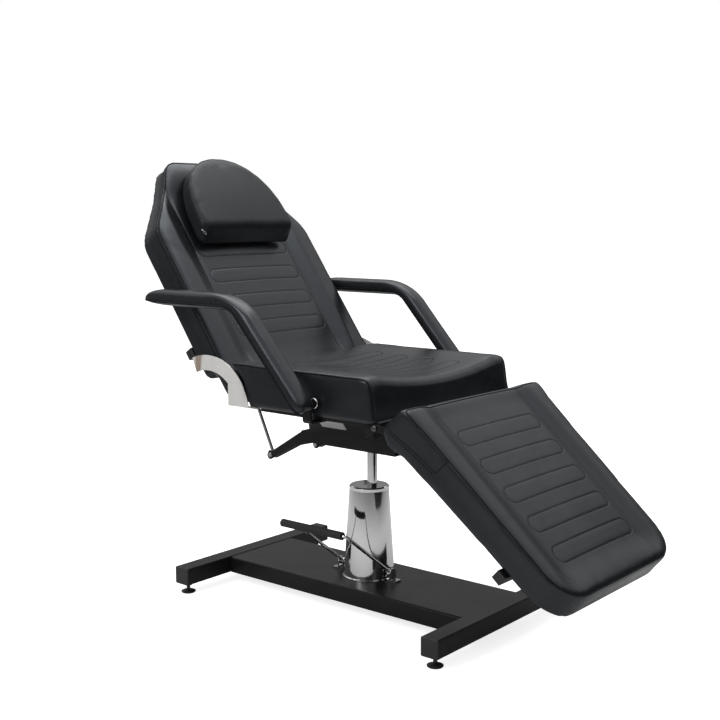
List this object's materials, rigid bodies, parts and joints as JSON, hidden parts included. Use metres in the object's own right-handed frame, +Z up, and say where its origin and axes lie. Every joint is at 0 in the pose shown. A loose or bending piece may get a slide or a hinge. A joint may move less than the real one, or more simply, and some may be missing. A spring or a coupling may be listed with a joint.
{
  "type": "hydraulic tattoo chair",
  "caption": "Hydraulic tattoo chair: foot-pumped swivel seat on a low steel base, reclining backrest with head pillow, folding leg rest and padded armrests.",
  "frame": {"origin": "on the floor, midway between the chair's sides and between its foot and head ends in the stored pose", "axes": "+Z up, +X to the sitter's left, +Y from the foot end to the head end"},
  "size_m": [0.75, 1.4439, 1.2004],
  "materials": {
    "black_steel": "satin black powder coat",
    "chrome": "polished chrome plating",
    "polished_steel": "polished stainless sheet",
    "zinc": "bright zinc plating",
    "black_leather": "soft black upholstery leather with a low sheen",
    "black_plastic": "moulded black plastic",
    "rubber": "matt black rubber",
    "plywood": "black board",
    "plate": "bare silver plate"
  },
  "bodies": {
    "base": {"base_tube_foot": "black_steel", "base_tube_head": "black_steel", "base_deck": "black_steel", "tube_cap_foot_right": "black_plastic", "tube_cap_foot_left": "black_plastic", "tube_cap_head_right": "black_plastic", "tube_cap_head_left": "black_plastic", "level_foot_foot_right": "black_plastic", "level_foot_foot_left": "black_plastic", "level_foot_head_right": "black_plastic", "level_foot_head_left": "black_plastic", "pump_flange": "chrome", "pump_cover": "chrome", "pump_cap": "chrome", "oil_plug": "zinc", "pump_barrel": "zinc", "pedal_bracket_foot": "chrome", "pedal_bracket_head": "chrome"},
    "column": {"ram": "chrome"},
    "pedal": {"pedal_lever": "chrome", "pedal_grip": "rubber"},
    "seat": {"frame_pan": "black_steel", "ram_socket": "black_steel", "name_plate": "plate", "seat_frame": "black_steel", "seat_board": "plywood", "seat_cushion": "black_leather", "recline_pin_right": "zinc", "recline_pin_left": "zinc", "leg_bolt_right": "zinc", "leg_bolt_left": "zinc", "strut_arm_right": "black_steel", "strut_arm_left": "black_steel", "strut_pin_right": "zinc", "strut_pin_left": "zinc", "seat_guard_right": "polished_steel", "seat_guard_left": "polished_steel", "arm_bracket_right": "black_steel", "arm_bracket_left": "black_steel", "armrest_right": "black_leather", "armrest_left": "black_leather"},
    "backrest": {"back_cushion": "black_leather", "back_board": "plywood", "back_frame": "black_steel", "head_pillow": "black_leather", "back_tube_plug_right": "black_plastic", "back_tube_plug_left": "black_plastic", "back_guard_right": "polished_steel", "back_guard_left": "polished_steel"},
    "leg_rest": {"leg_cushion": "black_leather", "leg_board": "plywood", "leg_frame": "black_steel", "leg_tube_plug_right": "black_plastic", "leg_tube_plug_left": "black_plastic"},
    "strut_rod_r": {"strut_rod_right": "chrome"},
    "strut_rod_l": {"strut_rod_left": "chrome"},
    "strut_tube_r": {"strut_tube_right": "black_steel"},
    "strut_tube_l": {"strut_tube_left": "black_steel"}
  },
  "joints": [
    {"name": "lift", "type": "slide", "parent": "base", "child": "column", "axis": [0, 0, 1], "range_m": [-0.05, 0.13]},
    {"name": "swivel", "type": "hinge", "parent": "column", "child": "seat", "pos_m": [0, 0.0305, 0.5], "axis": [0, 0, 1], "continuous": true},
    {"name": "recline", "type": "hinge", "parent": "seat", "child": "backrest", "pos_m": [0, 0.343, 0.528], "axis": [-1, 0, 0], "range_deg": [-14, 54.44]},
    {"name": "leg_tilt", "type": "hinge", "parent": "seat", "child": "leg_rest", "pos_m": [0, -0.21, 0.548], "axis": [-1, 0, 0], "range_deg": [-11, 41.58]},
    {"name": "pedal_press", "type": "hinge", "parent": "base", "child": "pedal", "pos_m": [-0.008, 0.0445, 0.095], "axis": [0, -1, 0], "range_deg": [0, 25], "stiffness_Nm_per_rad": 4, "springref_deg": -28.65},
    {"name": "strut_rod_swing_r", "type": "hinge", "parent": "seat", "child": "strut_rod_r", "pos_m": [-0.095, 0.3055, 0.386], "axis": [-1, 0, 0], "range_deg": [-8, 28]},
    {"name": "strut_tube_swing_r", "type": "hinge", "parent": "backrest", "child": "strut_tube_r", "pos_m": [-0.095, 0.425, 0.6427], "axis": [-1, 0, 0], "range_deg": [-29, 8.5]},
    {"name": "strut_rod_swing_l", "type": "hinge", "parent": "seat", "child": "strut_rod_l", "pos_m": [0.095, 0.3055, 0.386], "axis": [-1, 0, 0], "range_deg": [-8, 28]},
    {"name": "strut_tube_swing_l", "type": "hinge", "parent": "backrest", "child": "strut_tube_l", "pos_m": [0.095, 0.425, 0.6427], "axis": [-1, 0, 0], "range_deg": [-29, 8.5]}
  ],
  "couplings": [
    {"joint": "strut_rod_swing_r", "follows": "recline", "ratio": 0.485},
    {"joint": "strut_tube_swing_r", "follows": "recline", "ratio": -0.51},
    {"joint": "strut_rod_swing_l", "follows": "recline", "ratio": 0.485},
    {"joint": "strut_tube_swing_l", "follows": "recline", "ratio": -0.51}
  ]
}
